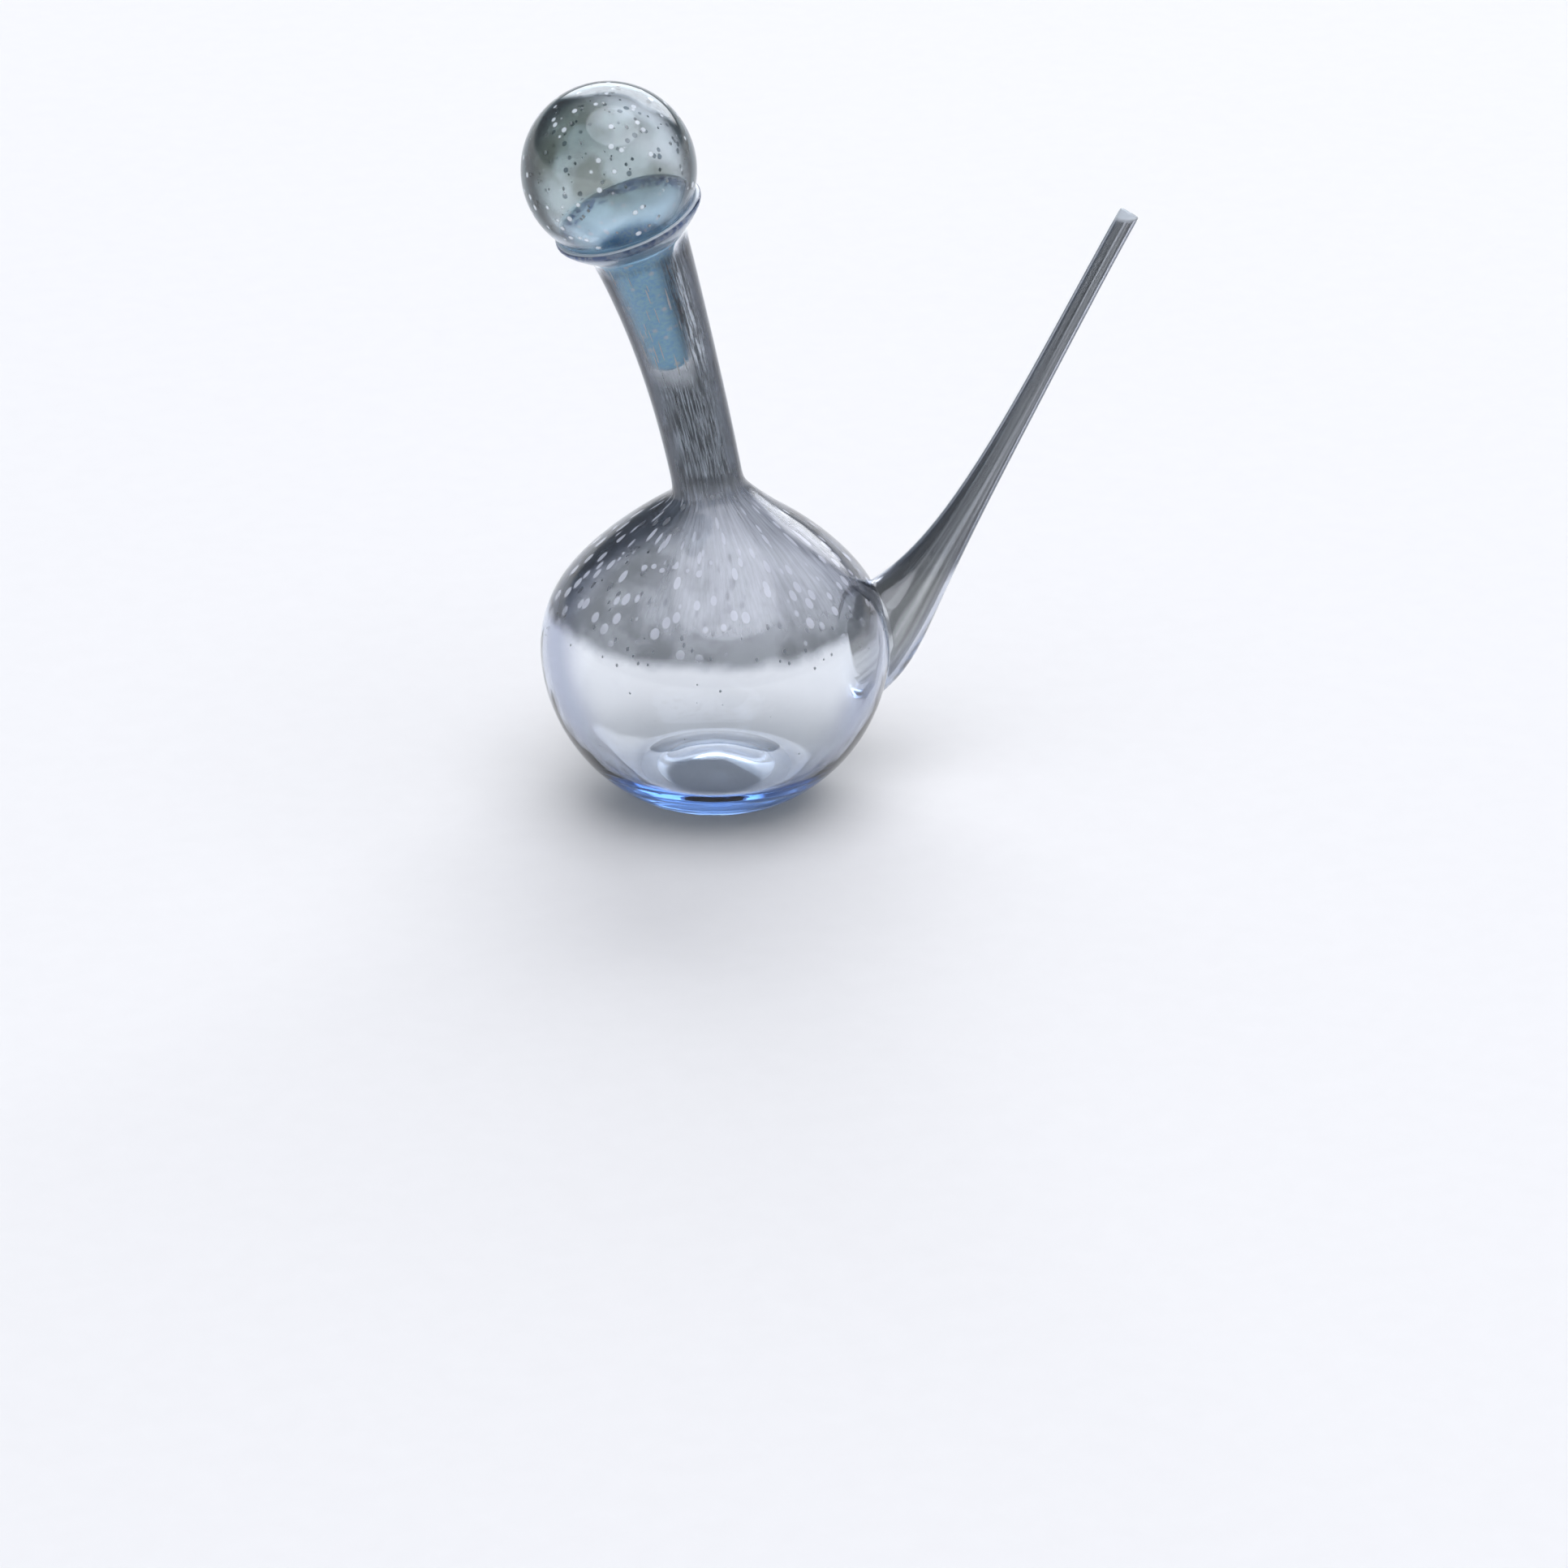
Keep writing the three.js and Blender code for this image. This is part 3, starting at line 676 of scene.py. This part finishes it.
shank_outside = [on_stopper(height, radius) for height, radius in (
    (-40.8, 21.2), (-42.8, 19.7), (-45.3, 19), (-50, 18.3), (-64, 16.6), (-75, 15.25),
    (-86.8, 13.8), (-101, 12.05), (-109, 11.05), (-112.4, 10.5), (-114.8, 9.1), (-116.5, 7),
    (-117.1, 5), (-117, 3.9), (-116.2, 3.4), (-115, 3.4), (-114.1, 3.8))]
shank_inside = [on_stopper(height, radius) for height, radius in (
    (-113.6, 5.3), (-112.6, 6.7), (-111.1, 7.7), (-109, 8.06), (-101, 9.1), (-86.76, 10.8),
    (-75, 12.2), (-64, 13.6), (-50, 15.3), (-43, 16))]
ball_outside = ball_rings(BALL_RADIUS, 176.5, 33.5, 24)
ball_inside = ball_rings(BALL_HOLLOW, 24, 176.5, 24)
stopper = draw_out("ball_stopper", 64, ball_outside + shank_outside + shank_inside + ball_inside,
                   True)
bpy.ops.object.mode_set(mode="EDIT")
bpy.ops.mesh.select_all(action="SELECT")
fire_polish(stopper)

ball_middle = on_mirror_plane(*BALL_AT)
skin_side = stopper.data.attributes.new("skin", "FLOAT", "POINT")
for v in stopper.data.vertices:
    outwards = v.co - ball_middle
    skin_side.data[v.index].value = OUTSIDE_SKIN if v.normal.dot(outwards) > 0 else INSIDE_SKIN


def ball_seed(here):
    size = chance_of.uniform(0.8, 2.1)
    return size, size * chance_of.uniform(1, 1.5), min(1.3, size * 0.6)


sow(stopper, ball_outside, lambda z: 1, ball_seed, count=110, depth=1.3, apart=4,
    keep_out=lambda here: False)

# The stopper's glass: it holds more blue than the vessel's. Ground faces scatter light, so the
# shank reads as frosted. Heights are in metres along the stopper, from the ball's centre.
finish, tree = new_finish("stopper_glass")
place = node(tree, "ShaderNodeTexCoord").outputs["Object"]
from_centre = vector(tree, "SUBTRACT", place, BALL_CENTRE)
distance = vector_number(tree, "LENGTH", from_centre)
along = vector_number(tree, "DOT_PRODUCT", from_centre, STOPPER_AXIS)
from_axis = number(tree, "SQRT", number(tree, "MAXIMUM", number(
    tree, "SUBTRACT", product(tree, distance, distance), product(tree, along, along)), 0))
in_seed, inside = skins(tree)

# Ground: the ball's skin low down, and the shank's, whose hollow lies within a narrower cone.
ball_skin = number(tree, "GREATER_THAN", distance, 0.0443)
shank_skin = number(tree, "GREATER_THAN", from_axis,
                    number(tree, "MULTIPLY_ADD", along, 0.1228, 0.0231))
ground = product(tree, fade(tree, along, -0.024, -0.028), ball_skin, shank_skin)
on_shank = fade(tree, along, -0.04, -0.046)
surface = bumps(tree, number(tree, "ADD", product(tree, cloud(tree, place, 60, 1), 0.8),
                             product(tree, cloud(tree, place, 900, 2), ground, 0.4)))

# Painted shade of the dark room clouds the upper ball, and thins out at its crown for a painted
# reflection of the sky.
crown_painted_sky_reflection = fade(tree, vector_number(tree, "DOT_PRODUCT", from_centre, (0.49, -0.13, 0.86)),
                0.018, 0.034)
painted_shade_mask = product(tree, fade(tree, along, -0.02, 0.005),
                number(tree, "MULTIPLY_ADD", crown_painted_sky_reflection, -0.9, 1))
outer = mix(tree, painted_shade_mask, CLEAR, (0.75, 0.79, 0.78, 1))
painted_surroundings_shade = mix(tree, fade(tree, cloud(tree, place, 38, 2), 0.4, 0.6), (0.4, 0.45, 0.42, 1),
            (0.13, 0.14, 0.11, 1))
inner = mix(tree, painted_shade_mask, CLEAR, painted_surroundings_shade)
colour = mix(tree, inside, outer, inner)
# Painted shade: the ball is darker where it is seen edge on.
edge_on_painted_shade = product(tree, fade(tree, facing_away(tree), 0.3, 0.65), fade(tree, along, -0.034, -0.012))
colour = mix(tree, edge_on_painted_shade, colour, (0.01, 0.018, 0.02, 1))

# The ground glass is a mottled blue satin, paler where the ball sits in the bowl.
mottled = fade(tree, cloud(tree, place, 600, 3), 0.35, 0.65)
satin = mix(tree, mottled, (0.25, 0.66, 1, 1), (0.42, 0.82, 1, 1))
satin = mix(tree, fade(tree, along, -0.046, -0.04), satin, (0.6, 0.88, 1, 1))
colour = mix(tree, ground, colour, satin)
satin_depth = product(tree, ground, number(tree, "MULTIPLY_ADD", on_shank, -0.75, -0.12))

# Blisters show on the ball as pale dots, painted with the glint they catch.
from_blister = node(tree, "ShaderNodeTexVoronoi",
                    {"Vector": place, "Scale": 130}).outputs["Distance"]
blisters_with_painted_glint = product(tree, fade(tree, from_blister, 0.25, 0.14), without(tree, inside), 0.8)
colour = mix(tree, in_seed, colour, CLEAR)
colour = mix(tree, blisters_with_painted_glint, colour, (0.9, 0.95, 1, 1))
see_through = number(tree, "ADD", satin_depth, number(tree, "MULTIPLY_ADD", in_seed, -0.75, 1))
see_through = number(tree, "SUBTRACT", see_through,
                     product(tree, blisters_with_painted_glint, without(tree, ground)))
roughness = number(tree, "MULTIPLY_ADD", ground, 0.45,
                   number(tree, "MULTIPLY_ADD", in_seed, 0.3, POLISHED))
glass_of(tree, colour, roughness, surface, see_through, (0.1, 0.55, 0.92, 1), 35)
stopper.data.materials.clear()
stopper.data.materials.append(finish)
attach(stopper, "stopper")
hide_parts("stopper")
bpy.data.objects.remove(seed)


# Floor. A wide pale table top with a soft matt grain, made of one flat sheet. It lies a hair
# below the foot, so the two never share a face.
nothing_selected()
bpy.ops.mesh.primitive_plane_add(size=8, location=(0, 0, -0.0002))
floor = bpy.context.object
floor.name = "floor"
finish, tree = new_finish("floor")
place = node(tree, "ShaderNodeTexCoord").outputs["Object"]
grain = mix(tree, cloud(tree, place, 60, 3), (0.885, 0.865, 0.84, 1), (0.915, 0.895, 0.87, 1))
matt = node(tree, "ShaderNodeBsdfPrincipled", {"Base Color": grain, "Roughness": 0.7})
node(tree, "ShaderNodeOutputMaterial", {"Surface": matt.outputs[0]})
floor.data.materials.append(finish)


# Light. A soft opening overhead lights the shoulder and the floor, and a brighter low sky stands
# behind the porron to its right. The rest is a dim room above a pale horizon.
world = bpy.data.worlds.new("room")
scene.world = world
world.use_nodes = True
tree = world.node_tree
tree.nodes.clear()
direction = node(tree, "ShaderNodeTexCoord").outputs["Generated"]
up = node(tree, "ShaderNodeSeparateXYZ", {"Vector": direction}).outputs["Z"]


def towards(aim, start, full):
    match = vector_number(tree, "DOT_PRODUCT", direction, Vector(aim).normalized())
    return fade(tree, match, start, full)


HORIZON, DIM_ROOM = (0.85, 0.86, 0.88, 1), (0.25, 0.27, 0.3, 1)
OPENING_LIGHT, LOW_SKY_LIGHT = (2.2, 2.26, 2.48, 1), (3.8, 3.9, 4.1, 1)
overhead = towards((0.02, -0.2, 0.98), 0.85, 0.88)
low_sky = product(tree, fade(tree, up, 0.12, 0.17), fade(tree, up, 0.7, 0.62),
                  towards((0.5, 0.8, 0.4), 0.85, 0.9))
tone = mix(tree, fade(tree, up, 0.03, 0.12), HORIZON, DIM_ROOM)
tone = mix(tree, overhead, tone, OPENING_LIGHT)
tone = mix(tree, low_sky, tone, LOW_SKY_LIGHT)
room = node(tree, "ShaderNodeBackground", {"Color": tone, "Strength": 1})
node(tree, "ShaderNodeOutputWorld", {"Surface": room.outputs[0]})

# Light crosses many skins of glass before it is seen, so it is followed further than usual.
scene.view_settings.view_transform = "Standard"
scene.cycles.max_bounces = 36
scene.cycles.transmission_bounces = 36
scene.cycles.glossy_bounces = 12
scene.cycles.transparent_max_bounces = 24
